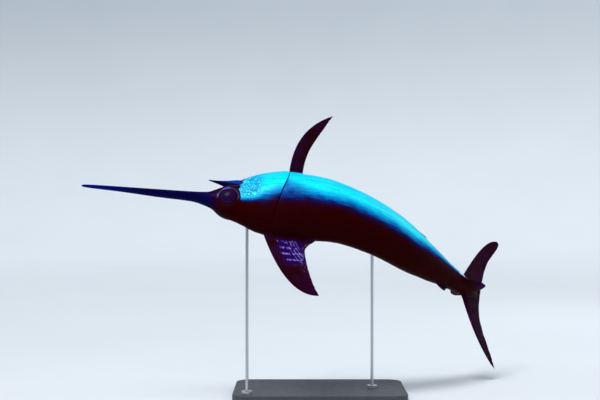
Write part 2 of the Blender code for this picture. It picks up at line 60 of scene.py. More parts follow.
# The fish is drawn straight and then bent: s runs tailward from the corner of the mouth,
# v towards the back and w towards the fish's left, all in metres.
pose = {
    "mouthCorner": (-0.32, -0.13, 0.796),
    "bank": 34,  # degrees that the back leans to -Y
    "pitch": 2,
    "bend": ((0.00, 5), (0.15, 7), (0.30, 14), (0.45, 28.5), (0.62, 38), (0.85, 46.5), (1.25, 50)),
    "roll": ((1.20, 0), (1.45, 6)),
    "lift": ((0.60, 0.0), (0.85, -0.008), (1.10, -0.008), (1.20, -0.006), (1.47, 0.030)),
    "step": 0.005,
}


def smoothRows(rows, at, column=1):
    # value of a column at the places given, smooth and with no overshoot
    at = np.asarray(at, float)
    x = np.array([row[0] for row in rows], float)
    y = np.array([row[column] for row in rows], float)
    step = np.diff(x)
    slope = np.diff(y) / step
    tangent = np.concatenate(([slope[0]], np.zeros(len(x) - 2), [slope[-1]]))
    for i in range(1, len(x) - 1):
        if slope[i - 1] * slope[i] > 0:
            tangent[i] = 2 * slope[i - 1] * slope[i] / (slope[i - 1] + slope[i])
    i = np.clip(np.searchsorted(x, at, side="right") - 1, 0, len(x) - 2)
    t = np.clip((at - x[i]) / step[i], 0, 1)
    ahead = (1 - t) ** 2 * ((1 + 2 * t) * y[i] + t * step[i] * tangent[i])
    return ahead + t**2 * ((3 - 2 * t) * y[i + 1] - (1 - t) * step[i] * tangent[i + 1])


def held(x):
    return np.clip(x, 0, 1)


def ease(x, start, end):
    # 0 before start, 1 after end, smooth between them
    t = held((np.asarray(x, float) - start) / (end - start))
    return t * t * (3 - 2 * t)


def bump(x, middle, width):
    return np.exp(-(((np.asarray(x, float) - middle) / width) ** 2))


def cloudAt(points, size, where, octaves=1):
    # smooth noise of about -0.7 to 0.7 at the points marked, with lumps of the size given in metres
    values = np.zeros(len(points))
    for number in np.flatnonzero(where):
        place = Vector(points[number] / size)
        values[number] = noise.fractal(place, 1.0, 2.0, octaves) if octaves > 1 else noise.noise(place)
    return values


turnUp = Matrix.Rotation(math.radians(pose["pitch"]), 3, "Y")
bankAngle = math.radians(pose["bank"])
tailward = np.array(turnUp @ Vector((1, 0, 0)))
toLeft = np.array(turnUp @ Vector((0, math.cos(bankAngle), -math.sin(bankAngle))))
toBack = np.array(turnUp @ Vector((0, -math.sin(bankAngle), -math.cos(bankAngle))))
trackS = np.arange(-0.75, 1.65, pose["step"])
trackHeading = np.radians(smoothRows(pose["bend"], trackS))
trackAlong = np.cumsum(np.cos(trackHeading)) * pose["step"]
trackAside = np.cumsum(np.sin(trackHeading)) * pose["step"]
trackAlong -= np.interp(0, trackS, trackAlong)
trackAside -= np.interp(0, trackS, trackAside)


def placed(s, v, w):
    # world points of many points on the straight fish
    s, v, w = (np.asarray(x, float) for x in (s, v, w))
    roll = np.radians(smoothRows(pose["roll"], s))
    heading = np.interp(s, trackS, trackHeading)
    up = v * np.cos(roll) - w * np.sin(roll) - smoothRows(pose["lift"], s)
    side = w * np.cos(roll) + v * np.sin(roll)
    along = np.interp(s, trackS, trackAlong) - side * np.sin(heading)
    aside = np.interp(s, trackS, trackAside) + side * np.cos(heading)
    lines = (np.multiply.outer(x, axis) for x, axis in ((along, tailward), (aside, toLeft), (up, toBack)))
    return np.array(pose["mouthCorner"]) + sum(lines)


bodyShape = {
    "rows": (  # s, height of the back, depth of the belly, half width
        (-0.631, -0.0068, 0.0142, 0.0050), (-0.600, -0.0048, 0.0160, 0.0088),
        (-0.480, -0.0008, 0.0172, 0.0140), (-0.320, 0.0082, 0.0176, 0.0220),
        (-0.200, 0.0128, 0.0184, 0.0270), (-0.130, 0.0330, 0.0240, 0.0330),
        (-0.060, 0.0775, 0.0620, 0.0460), (0.000, 0.1015, 0.0950, 0.0580),
        (0.080, 0.1355, 0.1300, 0.0780), (0.180, 0.1535, 0.1500, 0.0910),
        (0.300, 0.1400, 0.1520, 0.0900), (0.450, 0.1220, 0.1420, 0.0840),
        (0.600, 0.1180, 0.1290, 0.0790), (0.750, 0.1120, 0.1130, 0.0730),
        (0.900, 0.0930, 0.0830, 0.0610), (1.050, 0.0650, 0.0560, 0.0450),
        (1.200, 0.0420, 0.0430, 0.0330), (1.275, 0.0330, 0.0330, 0.0140),
        (1.306, 0.0190, 0.0190, 0.0030),
    ),
    "mouthRoof": (  # s, depth
        (-0.631, 0.0130), (-0.480, 0.0150), (-0.320, 0.0152), (-0.200, 0.0154),
        (-0.130, 0.0185), (-0.080, 0.0310), (-0.040, 0.0395), (0.000, 0.0450),
    ),
    "jaw": (  # s, depth of the top, depth of the underside, half width
        (-0.133, 0.0880, 0.0905, 0.0020), (-0.100, 0.0815, 0.0885, 0.0075),
        (-0.068, 0.0735, 0.0895, 0.0160), (-0.028, 0.0560, 0.0925, 0.0360),
        (0.000, 0.0450, 0.0950, 0.0505),
    ),
    "tipLength": 0.010,  # of the rounded end of the bill and jaw
    "palate": 0.010, "tongueTrough": 0.006,
}
skinGrid = {
    "upperSteps": 78,  # from the back to the mouth line, on one side
    "lowerSteps": 42,
    "mouthShare": 0.64,
    "spacing": (  # up to s, distance of the rows
        (-0.600, 0.0025), (-0.150, 0.0045), (0.145, 0.0020), (0.175, 0.0008),
        (0.300, 0.0026), (1.060, 0.0042), (1.306, 0.0026),
    ),
}
gill = {
    "front": 0.038, "rear": 0.188, "slant": 0.050,
    "turn": (0.15, 0.90),  # shares of its height between which the rear edge slants forward
    "round": 0.014,
    "low": math.radians(-78), "high": math.radians(46), "raise": 0.0012, "flare": 0.0035, "slot": 0.0030,
    "rowsAt": 0.160,  # place in the grid whose rows follow the rear edge
    "rowsReach": 0.075,
}
eye = {
    "s": -0.050, "angle": math.radians(7.5), "radius": 0.038, "halfThickness": 0.017,
    "sunk": 0.006, "rim": 0.0011, "rimWidth": 0.018, "rimDepth": 0.0015,
    "blend": 0.004, "socketDepth": 0.024,
}
face = {
    "lip": 0.0028,
    "nostrils": ((-0.104, 21), (-0.093, 23)),
    "nostrilRadius": 0.0028, "nostrilDepth": 0.0045,
}
outer, roof, underJaw, jawTop = range(4)  # the four sheets of the skin's grid


def bluntEnd(table, s):
    # share of its thickness that the bill or jaw has near its rounded end
    length = bodyShape["tipLength"]
    tip = held((bodyShape[table][0][0] + length - np.asarray(s)) / length)
    return np.sqrt(np.clip(1 - tip**2, 0.02, 1))


def section(s):
    back, belly, half = (smoothRows(bodyShape["rows"], s, column) for column in (1, 2, 3))
    blunt = bluntEnd("rows", s)
    return (back - belly) / 2, (back + belly) / 2 * blunt, half * blunt


def mouthAngle(s):
    middle, halfHeight, _ = section(s)
    return np.arcsin(np.clip((-smoothRows(bodyShape["mouthRoof"], s) - middle) / halfHeight, -0.99, 0.99))


def angleAt(s, u):
    # height on the side as an angle, from the share u of the way from the back to the belly
    turn = mouthAngle(np.minimum(s, 0))
    share = skinGrid["mouthShare"]
    above = math.pi / 2 + (turn - math.pi / 2) * u / share
    return np.where(u < share, above, turn - (math.pi / 2 + turn) * (u - share) / (1 - share))


def onSection(s, angle, side, out=0.0):
    middle, halfHeight, halfWidth = section(s)
    nv, nw = np.sin(angle) / halfHeight, np.cos(angle) / halfWidth
    long = np.hypot(nv, nw)
    v = middle + halfHeight * np.sin(angle) + out * nv / long
    return v, side * (halfWidth * np.cos(angle) + out * nw / long)


def seatOnSkin(s, angle, side):
    # matrix with its origin on the skin and its Z axis square to it
    def at(s, angle, out=0.0):
        v, w = onSection(s, angle, side, out)
        return Vector(placed(s, v, w))

    near = at(s, angle)
    along = (at(s + 0.02, angle) - at(s - 0.02, angle)).normalized()
    normal = along.cross(at(s, angle + 0.1) - at(s, angle - 0.1)).normalized()
    if normal.dot(at(s, angle, 0.01) - near) < 0:
        normal = -normal
    turn = Matrix((along, normal.cross(along), normal)).transposed()
    return Matrix.Translation(near) @ turn.to_4x4()


def gillEdges(angle):
    b = held((angle - gill["low"]) / (gill["high"] - gill["low"]))
    rounding = gill["round"] * np.abs(2 * b - 1) ** 4
    return gill["front"] + rounding, gill["rear"] - gill["slant"] * ease(b, *gill["turn"]) - rounding


def gillRelief(s, angle):
    # the cover rises tailward and drops at its free rear edge into the slot behind it
    front, rear = gillEdges(angle)
    share = held((s - front) / (rear - front))
    above = ease(angle, gill["high"] + 0.06, gill["high"] - 0.70)
    throat = ease(angle, gill["low"] - 0.20, gill["low"] + 0.02)
    cover = gill["raise"] * ease(share, 0, 0.2) + gill["flare"] * share**2
    lobes = 0.0004 * np.sin(angle * 11 + s * 30) * ease(share, 0.1, 0.5)
    slot = gill["slot"] * np.exp(-held(s - rear) / 0.007) * ease(s - rear, 0.0002, 0.0014)
    inside = 1 - ease(s - rear, 0.0, 0.0012)
    return above * throat * ((cover + lobes) * inside - slot)


def softRelief(s, angle):
    # folds, bones and muscle under the skin
    relief = -0.0010 * bump(angle, 0.02, 0.10) * ease(s, 0.24, 0.36) * ease(s, 1.10, 0.95)
    cheekBone = 0.020 + 0.03 * (angle + 0.3) ** 2
    relief += 0.0011 * bump(s, cheekBone, 0.007) * ease(angle, -1.2, -0.9) * ease(angle, 0.5, 0.2)
    lipFold = mouthAngle(np.minimum(s, 0)) - 6 * held(s)
    relief -= 0.0016 * bump(angle, lipFold, 0.05) * bump(s, 0.008, 0.014)
    relief -= 0.0016 * bump(angle, -1.26, 0.05) * ease(s, -0.13, -0.09) * ease(s, 0.05, 0.0)
    for along, height, size in ((1.168, 1.571, 0.34), (1.168, -1.571, 0.34)):
        relief -= 0.0050 * bump(s, along, 0.009) * bump(angle, height, size)  # notches before the tail
    # the slot that the anal fin folds into
    relief -= 0.0022 * bump(angle, -1.571, 0.05) * ease(s, 0.66, 0.70) * ease(s, 0.90, 0.86)
    relief -= 0.0030 * bump(angle, -1.571, 0.05) * bump(s, 0.655, 0.008)
    throat = ease(angle, -1.53, -1.40) * ease(angle, -0.88, -1.02)
    folds = np.cos((angle + 1.5) * 48 + s * 9) * throat * ease(s, -0.060, 0.0) * ease(s, 0.135, 0.085)
    return relief + 0.0006 * folds


def lipRelief(s, angle, line):
    fade = ease(s, -0.135, -0.100) * ease(s, 0.012, -0.010)
    return face["lip"] * fade * bump(angle, line, 0.13)


def skinPoints(sheet, s, c):
    # straight-fish points of the skin, and the height on the side as an angle
    side = np.where(c <= 1, 1.0, -1.0)
    u = np.where(c <= 1, c, 2 - c)
    reference = angleAt(s, u)
    edge = gillEdges(np.clip(reference, gill["low"], gill["high"]))[1] - gill["rowsAt"]
    s = s + np.where(s > 0, edge * bump(s, gill["rowsAt"], gill["rowsReach"]) * ease(s, 0.0, 0.03), 0)
    angle = angleAt(s, u)
    line = mouthAngle(np.minimum(s, 0))
    v, w = onSection(s, angle, side, gillRelief(s, angle) + softRelief(s, angle) + lipRelief(s, angle, line))
    depth = smoothRows(bodyShape["mouthRoof"], s)
    mouth = skinGrid["mouthShare"]
    across = held(1 - ((u - mouth) / (1 - mouth) - 1) ** 2)
    vault = bodyShape["palate"] * ease(s, -0.13, -0.07) * ease(s, 0.0, -0.03) * across
    ridge = 0.0012 * ease(s, -0.14, -0.20) * ease(s, -0.62, -0.50) * np.cos(across * 9)
    v = np.where(sheet == roof, -depth + vault + ridge * across, v)
    top, bottom, half = (smoothRows(bodyShape["jaw"], s, column) for column in (1, 2, 3))
    turn = mouthAngle(np.zeros_like(s))
    jawAngle = turn - (math.pi / 2 + turn) * (u - mouth) / (1 - mouth)
    share = (np.sin(turn) - np.sin(jawAngle)) / (np.sin(turn) + 1)
    fold = softRelief(s, jawAngle) + lipRelief(s, jawAngle, turn)
    _, tall, wide = section(np.zeros_like(s))
    slope = np.arctan2(np.sin(jawAngle) / tall, np.cos(jawAngle) / wide)
    trough = bodyShape["tongueTrough"] * ease(s, -0.12, -0.08) * ease(s, 0.0, -0.02) * across
    v = np.where(sheet == underJaw, -top - share * (bottom - top) + fold * np.sin(slope), v)
    v = np.where(sheet == jawTop, -top - trough, v)
    jawW = half * bluntEnd("jaw", s) * np.cos(jawAngle) / np.cos(turn) + fold * np.cos(slope)
    w = np.where((sheet == underJaw) | (sheet == jawTop), side * jawW, w)
    return s, v, w, angle


def rowPlaces():
    places = [bodyShape["rows"][0][0] + 0.0002]
    for end, spacing in skinGrid["spacing"]:
        count = max(1, round((end - places[-1]) / spacing))
        places += list(np.linspace(places[-1], end, count + 1)[1:])
    places = np.array(places)
    places[np.argmin(np.abs(places))] = 0.0
    return places


def shareHalf():
    upper = np.linspace(0, skinGrid["mouthShare"], skinGrid["upperSteps"] + 1)
    lower = np.linspace(skinGrid["mouthShare"], 1, skinGrid["lowerSteps"] + 1)[1:]
    half = np.concatenate((upper, lower))
    return np.concatenate((half, 2 - half[-2:0:-1]))


def skinMesh():
    # one closed sheet: trunk, upper jaw with bill, and lower jaw meet in one row at the mouth's corner
    shape = bmesh.new()
    layers = [shape.verts.layers.float.new(name) for name in ("sheet", "s", "c")]
    rings = shareHalf()
    count = len(rings)
    corner = skinGrid["upperSteps"]
    upper = {j for j in range(count) if j <= corner or j >= count - corner}
    lower = list(range(corner, count - corner + 1))
    inner = lower[-2:0:-1]

    def vertex(sheet, s, c):
        made = shape.verts.new((s, c, sheet))
        for layer, value in zip(layers, (sheet, s, c)):
            made[layer] = value
        return made

    def bridge(rows, cap):
        for near, far in zip(rows, rows[1:]):
            for corners in zip(near, near[1:] + near[:1], far[1:] + far[:1], far):
                corners = list(dict.fromkeys(corners))
                if len(corners) > 2:
                    shape.faces.new(corners)
        shape.faces.new(cap)

    places = rowPlaces()
    trunk = [[vertex(outer, s, c) for c in rings] for s in places[places >= 0]]
    bridge(trunk, trunk[-1])
    seam = {j: vertex(roof, 0.0, rings[j]) for j in lower[1:-1]}

    sheets = [outer if j in upper else roof for j in range(count)]
    rows = [[vertex(sheet, s, c) for sheet, c in zip(sheets, rings)] for s in places[places < 0]]
    rows.append([trunk[0][j] if j in upper else seam[j] for j in range(count)])
    bridge(rows, rows[0])

    rows = []
    for s in places[(places < 0) & (places > bodyShape["jaw"][0][0])]:
        under = [vertex(underJaw, s, rings[j]) for j in lower]
        rows.append(under + [vertex(jawTop, s, rings[j]) for j in inner])
    rows.append([trunk[0][j] for j in lower] + [seam[j] for j in inner])
    bridge(rows, rows[0])
    return shape, layers


def gridFacts(shape, layers):
    return np.array([[vertex[layer] for layer in layers] for vertex in shape.verts]).T


def refine(shape, layers, wanted):
    # splits the faces whose points the test wants
    sheet, s, c = gridFacts(shape, layers)
    s, v, w, angle = skinPoints(sheet, s, c)
    marks = wanted(sheet, s, angle, placed(s, v, w))
    shape.verts.index_update()
    edges = {e for f in shape.faces if any(marks[v.index] for v in f.verts) for e in f.edges}
    bmesh.ops.subdivide_edges(shape, edges=list(edges), cuts=1, use_grid_fill=True)


eyeSeats = {side: seatOnSkin(eye["s"], eye["angle"], side) for side in (1, -1)}
nostrilSeats = [seatOnSkin(s, math.radians(angle), side) for s, angle in face["nostrils"] for side in (1, -1)]


def aroundSeat(seat, points):
    # distance of each point from a seat's axis, and its height over the seat
    turn = np.array(seat.inverted())
    local = points @ turn[:3, :3].T + turn[:3, 3]
    return np.hypot(local[:, 0], local[:, 1]), local[:, 2]


def nearSeats(inner, width, pit):
    # test for a ring of points at each eye's edge, and those round the nostrils
    def wanted(sheet, s, angle, points):
        marks = np.zeros(len(points), bool)
        for seat in eyeSeats.values():
            reach, height = aroundSeat(seat, points)
            ring = (np.abs(reach - eye["radius"] + inner) < width) & (sheet == outer)
            marks |= ring & (np.abs(height) < 0.03)
        for seat in nostrilSeats:
            marks |= np.hypot(*aroundSeat(seat, points)) < pit
        return marks

    return wanted


def onCheek(front, rear, spread):
    return lambda sheet, s, angle, points: (
        (sheet == outer) & (s > front) & (s < rear) & (np.abs(angle + 0.35) < spread))


def socketPush(seat, points, skinSide):
    # how far each point moves along the eye's axis: up to the rim, or down behind the eyeball
    reach, height = aroundSeat(seat, points)
    near = (reach < eye["radius"] * 2.2) & (np.abs(height) < 0.05) & skinSide
    forehead = ease(height, -0.036, -0.018)
    past = held(reach - eye["radius"])
    rim = -eye["rimDepth"] - eye["rim"] * (past / 0.004) ** 1.6 * 0.25
    blend = eye["blend"]
    lift = rim - height
    raised = np.where(lift > 0, lift, 0) + blend * np.exp(-np.abs(lift) / blend) * 0.35
    raised *= ease(reach, eye["radius"] + eye["rimWidth"] * 1.8, eye["radius"] + eye["rimWidth"] * 0.3)
    crease = -0.0007 * bump(reach, eye["radius"] + 0.0095, 0.0026)
    floor = -eye["socketDepth"] - height
    inner = ease(reach, eye["radius"] - 0.0012, eye["radius"] - 0.0032)
    return np.where(near, (raised * forehead + crease) * (1 - inner) + floor * inner, 0)


def worldSkin(sheet, s, c):
    s, v, w, angle = skinPoints(sheet, s, c)
    points = placed(s, v, w)

    def pushed(seat, amount):
        return points + np.multiply.outer(amount, np.array(seat.to_3x3().col[2]))

    for side, seat in eyeSeats.items():
        points = pushed(seat, socketPush(seat, points, np.where(c <= 1, 1, -1) * side > 0))
    radius = face["nostrilRadius"]
    for seat in nostrilSeats:
        reach, height = aroundSeat(seat, points)
        pit = face["nostrilDepth"] * ease(reach, radius * 1.25, radius * 0.5)
        brim = 0.0007 * bump(reach, radius * 1.7, radius * 0.6)
        points = pushed(seat, np.where((np.abs(height) < 0.02) & (sheet == outer), brim - pit, 0))
    return points, s, angle


wrinkle = {
    "lumps": ((0.060, 0.0011), (0.022, 0.0005)),  # size, height
    "creaseDepth": 0.0005,
}


def wrinkled(points, sheet, s, angle):
    # soft lumps all over the body, and crooked creases on the cheek
    normalWay = points - placed(s, 0 * s, 0 * s)
    normalWay /= np.maximum(np.linalg.norm(normalWay, axis=1), 1e-6)[:, None]
    body = (sheet == outer) & (s > -0.02)
    lumps = sum(height * cloudAt(points, size, body) for size, height in wrinkle["lumps"])
    cheek = (sheet == outer) & (s > -0.006) & (s < 0.105) & (np.abs(angle + 0.35) < 0.85)
    bent = points + 0.005 * np.stack([cloudAt(points + shift, 0.014, cheek) for shift in (3.1, 7.7, 5.3)], 1)
    coarse, fine = np.abs(cloudAt(bent, 0.0125, cheek)), np.abs(cloudAt(bent + 1.7, 0.0080, cheek))
    fade = ease(s, -0.006, 0.004) * ease(s, 0.105, 0.045)
    fade = fade * ease(angle, -1.15, -0.80) * ease(angle, 0.50, 0.25)
    crease = np.maximum(ease(coarse, 0.120, 0.03), 0.8 * ease(fine, 0.13, 0.03)) * fade * cheek
    crease *= ease(cloudAt(points, 0.024, cheek), -0.42, -0.15)
    out = lumps * ease(s, -0.02, 0.05) - wrinkle["creaseDepth"] * crease
    return points + normalWay * out[:, None], crease


def newPiece(name, data):
    piece = bpy.data.objects.new(name, data)
    bpy.context.scene.collection.objects.link(piece)
    return piece


def meshOf(name, shape):
    mesh = bpy.data.meshes.new(name)
    shape.to_mesh(mesh)
    shape.free()
    return mesh


def makeBody():
    shape, layers = skinMesh()
    for wanted in (onCheek(-0.004, 0.100, 0.80), onCheek(-0.002, 0.075, 0.70),
                   nearSeats(0, 0.009, 0.007), nearSeats(0.001, 0.0035, 0.005)):
        refine(shape, layers, wanted)
    sheet, s, c = gridFacts(shape, layers)
    sheet = np.round(sheet)
    points, s, angle = worldSkin(sheet, s, c)
    points, crease = wrinkled(points, sheet, s, angle)
    for vertex, point in zip(shape.verts, points):
        vertex.co = point
    bmesh.ops.triangulate(shape, faces=[f for f in shape.faces if len(f.verts) > 4])
    bmesh.ops.recalc_face_normals(shape, faces=shape.faces)
    if shape.calc_volume(signed=True) < 0:
        bmesh.ops.reverse_faces(shape, faces=shape.faces)
    mesh = meshOf("body", shape)
    for name in ("sheet", "s", "c"):
        mesh.attributes.remove(mesh.attributes[name])
    inside = ((sheet == roof) | (sheet == jawTop)).astype(float)
    return newPiece("body", mesh), {"along": s, "angle": angle, "crease": crease, "inside": inside}


body, bodyFacts = makeBody()
print("body skin:", len(body.data.vertices), "points")

finSunk = 0.014
finColumns = 6  # columns of the grid for each ray
smallFin = {
    "rays": 5, "rows": 26, "half": (0.0050, 0.0009), "ridge": 0.0005, "flare": 0.002, "wave": 0.0004,
}
lobe = {
    "rays": 15, "rows": 60, "root": (1.188, 1.258), "rootHeight": 0.034, "half": (0.0125, 0.0011),
    "ridge": 0.0006, "flare": 0.003, "wave": 0.0012,
}
fins = {
    # root: from and to; bend: s and height of the leading edge's control point; outline: share of the rays,
    # s and height of the margin; half: half the thickness at root and margin
    "dorsal": {
        "sail": 1, "rays": 34, "rows": 64, "root": (0.094, 0.292), "bend": (0.198, 0.424),
        "outline": ((0.00, 0.330, 0.393), (0.20, 0.306, 0.346), (0.45, 0.278, 0.262), (0.68, 0.268, 0.204),
                    (0.84, 0.281, 0.176), (1.00, 0.308, 0.152)),
        "half": (0.0085, 0.0010), "ridge": 0.0006, "flare": 0.004, "wave": 0.0020,
    },
    "secondDorsal": {
        **smallFin, "root": (0.965, 1.035), "bend": (0.990, 0.097),
        "outline": ((0.0, 1.040, 0.093), (0.5, 1.051, 0.080), (1.0, 1.062, 0.070)),
    },
    "secondAnal": {
        **smallFin, "belly": True, "root": (0.972, 1.042), "bend": (0.992, 0.091),
        "outline": ((0.0, 1.046, 0.086), (0.5, 1.056, 0.074), (1.0, 1.068, 0.063)),
    },
    "anal": {
        **smallFin, "belly": True, "rays": 13, "rows": 40, "root": (0.690, 0.835), "bend": (0.795, 0.139),
        "outline": ((0.00, 0.925, 0.118), (0.35, 0.885, 0.112), (0.70, 0.862, 0.108), (1.00, 0.868, 0.098)),
        "half": (0.0070, 0.0010), "wave": 0.0006,
    },
    "lobeDorsal": {
        **lobe, "bend": (1.251, 0.238),
        "outline": ((0.00, 1.481, 0.319), (0.16, 1.450, 0.274), (0.34, 1.398, 0.220), (0.52, 1.357, 0.172),
                    (0.68, 1.333, 0.125), (0.82, 1.325, 0.080), (1.00, 1.335, 0.0)),
    },
    "lobeVentral": {
        **lobe, "belly": True, "bend": (1.360, 0.291),
        "outline": ((0.00, 1.4445, 0.315), (0.06, 1.470, 0.322), (0.12, 1.484, 0.314), (0.19, 1.474, 0.288),
                    (0.34, 1.433, 0.235), (0.52, 1.394, 0.182), (0.68, 1.373, 0.134), (0.82, 1.358, 0.088),
                    (1.00, 1.335, 0.0)),
    },
    "pectoral": {
        "rays": 17, "rows": 60, "root": (0.188, 0.242), "bend": (0.184, 0.168),
        "outline": ((0.00, 0.318, 0.253), (0.22, 0.298, 0.202), (0.50, 0.272, 0.143), (0.75, 0.252, 0.090),
                    (0.90, 0.244, 0.050), (1.00, 0.2405, 0.016)),
        "half": (0.0070, 0.0010), "ridge": 0.0006, "flare": 0.004, "wave": 0.0015,
        "out": 0.040, "spread": {1: math.radians(58), -1: math.radians(34)},
    },
}
keel = {
    "rows": ((1.090, 0.041, 0.003), (1.145, 0.047, 0.008), (1.186, 0.063, 0.012), (1.226, 0.082, 0.012),
             (1.248, 0.081, 0.010), (1.262, 0.071, 0.008), (1.272, 0.052, 0.006)),
    "rootShare": 0.45, "edge": 0.0014, "steps": (90, 30),
}


def closedSheet(name, front, back, **facts):
    # closed solid between two like grids of points (rows, columns, 3), and the facts of its points
    rows, columns = front.shape[:2]
    other = rows * columns
    number = np.arange(other).reshape(rows, columns)
    quads = np.stack((number[:-1, :-1], number[:-1, 1:], number[1:, 1:], number[1:, :-1]), -1).reshape(-1, 4)
    rim = np.concatenate((number[0], number[1:, -1], number[-1, -2::-1], number[-2:0:-1, 0]))
    ahead = np.roll(rim, -1)
    sides = np.stack((ahead, rim, rim + other, ahead + other), -1)
    mesh = bpy.data.meshes.new(name)
    mesh.from_pydata(np.concatenate((front, back)).reshape(-1, 3).tolist(), [],
                     np.concatenate((quads, quads[:, ::-1] + other, sides)).tolist())
    mesh.update()
    shape = bmesh.new()
    shape.from_mesh(mesh)
    bmesh.ops.recalc_face_normals(shape, faces=shape.faces)
    shape.to_mesh(mesh)
    shape.free()
    grid = np.zeros((rows, columns))
    return newPiece(name, mesh), {key: np.tile((grid + value).reshape(-1), 2) for key, value in facts.items()}


def bladeGrid(shape, rootAt, skinHeight):
    # a runs from the leading ray to the last, b from the root to the margin
    columns = (shape["rays"] - 1) * finColumns + 1
    a = np.linspace(0, 1, columns)[None, :]
    b = (np.linspace(0, 1, shape["rows"]) ** 1.2)[:, None]
    phase = a * (shape["rays"] - 1)
    crest = 0.5 + 0.5 * np.cos(2 * math.pi * phase)
    forked = 0.5 + 0.5 * np.cos(4 * math.pi * (phase - 0.25))
    split = ease(b, 0.55, 0.80) * ease(a, 0.05, 0.15)
    ridges = (crest * (1 - split) + 0.8 * forked * split) ** 1.5
    b = b * (1 - 0.010 * (1 - crest) * ease(b, 0.85, 1.0) * ease(a, 0.02, 0.1))
    starts = rootAt(a)
    ends = [smoothRows(shape["outline"], a, column) for column in (1, 2)]
    lines = []
    for start, end, bend in zip(starts, ends, shape["bend"]):
        bent = (start + end) / 2 + (bend - (start[0, 0] + end[0, 0]) / 2) * (1 - a) ** 2
        lines.append((1 - b) ** 2 * start + 2 * b * (1 - b) * bent + b**2 * end)
    s, h = lines
    above = skinHeight(s, h)
    thick, thin = shape["half"]
    half = thin + (thick - thin) * (1 - b) ** 1.7 * (1 - 0.6 * a)
    chord = np.hypot(*[end[0, 0] - end[0, -1] for end in ends]) + 1e-6
    edge = np.minimum(a, 1 - a) * max(chord, abs(starts[0][0, -1] - starts[0][0, 0]))
    half = half * (0.35 + 0.65 * np.sqrt(held(edge / 0.012)))
    half = half * (0.55 + 0.45 * np.sqrt(held((1 - b) / 0.05)))
    half = half + shape["ridge"] * (1 - 0.5 * b) * ridges * ease(b, 0.0, 0.12)
    half = half + shape["flare"] * np.exp(-held(above) / 0.006)
    curl = shape["wave"] * b**2 * (np.sin(a * 8 + 1) * a + 0.5 * np.sin(phase * 2.1) * ease(b, 0.6, 1))
    return s, h, half, curl, {"grown": above, "ray": phase, "reach": b, "sail": shape.get("sail", 0)}


def makeFin(name, side=1):
    shape = fins[name]
    isLobe, isPaired, onBelly = "lobe" in name, "spread" in shape, "belly" in shape
    start, end = shape["root"]

    def skinAt(s):
        return smoothRows(bodyShape["rows"], s, 2 if onBelly and not isLobe else 1)

    def rootAt(a):
        s = start + (end - start) * a
        if isLobe:
            return s, shape["rootHeight"] * (1 - a) ** 0.8 - 0.002
        return s, (0 * a if isPaired else skinAt(s)) - finSunk

    def skinHeight(s, h):
        if isPaired:
            return h
        return np.maximum(h - skinAt(s), s - 1.292) if isLobe else h - skinAt(s)

    s, h, half, curl, facts = bladeGrid(shape, rootAt, skinHeight)
    sheets = []
    for turn in (1, -1):
        v, w = -h if onBelly else h, half * turn + curl
        if isPaired:
            spread, out = shape["spread"][side], shape["out"]
            middle, halfHeight, halfWidth = section((start + end) / 2)
            root = middle - halfHeight * math.sqrt(1 - (out / halfWidth) ** 2)
            v = root - h * math.cos(spread) + w * math.sin(spread)
            w = side * (out + h * math.sin(spread) + w * math.cos(spread))
        sheets.append(placed(s, v, w))
    return closedSheet(f"{name} {side}", *sheets, **facts)


def makeKeel(side):
    s = np.linspace(keel["rows"][0][0], keel["rows"][-1][0], keel["steps"][0])[None, :]
    k = (1 - (1 - np.linspace(0, 1, keel["steps"][1])) ** 1.4)[:, None]
    reach, thick = (smoothRows(keel["rows"], s, column) for column in (1, 2))
    body = section(s)[2]
    w = body * keel["rootShare"] + (reach - body * keel["rootShare"]) * k
    half = keel["edge"] + (thick - keel["edge"]) * (1 - k) ** 0.75
    half = half * np.sqrt(np.clip(1 - k**10, 0.08, 1))
    half = half + 0.003 * np.exp(-held(w - body) / 0.006) * ease(s, 1.09, 1.145)
    sheets = [placed(s + 0 * k, half * turn, side * w) for turn in (1, -1)]
    return closedSheet(f"keel {side}", *sheets, grown=(w - body) * 0.15, ray=0, reach=k, sail=0)


growths = [makeFin(name) for name in fins if name != "pectoral"]
growths += [makeFin("pectoral", side) for side in (1, -1)]
growths += [makeKeel(side) for side in (1, -1)]
print("fins and keels:", sum(len(piece.data.vertices) for piece, _ in growths), "points")


def rowsOf(items, name, width, kind=float):
    flat = np.zeros(len(items) * width, kind)
    items.foreach_get(name, flat)
    return flat.reshape(-1, width)


def nearest(points, known):
    # the number of the known point nearest to each point, and how far off it is
    tree = KDTree(len(known))
    for number, point in enumerate(known):
        tree.insert(point, number)
    tree.balance()
    hits = [tree.find(point) for point in points]
    return np.array([hit[1] for hit in hits]), np.array([hit[2] for hit in hits])


smoothing = {
    "rootWidth": 0.009, "rootShare": 0.7,  # how far from a fin's root, and how strongly
    "jawWidth": 0.016, "passes": 14,
}


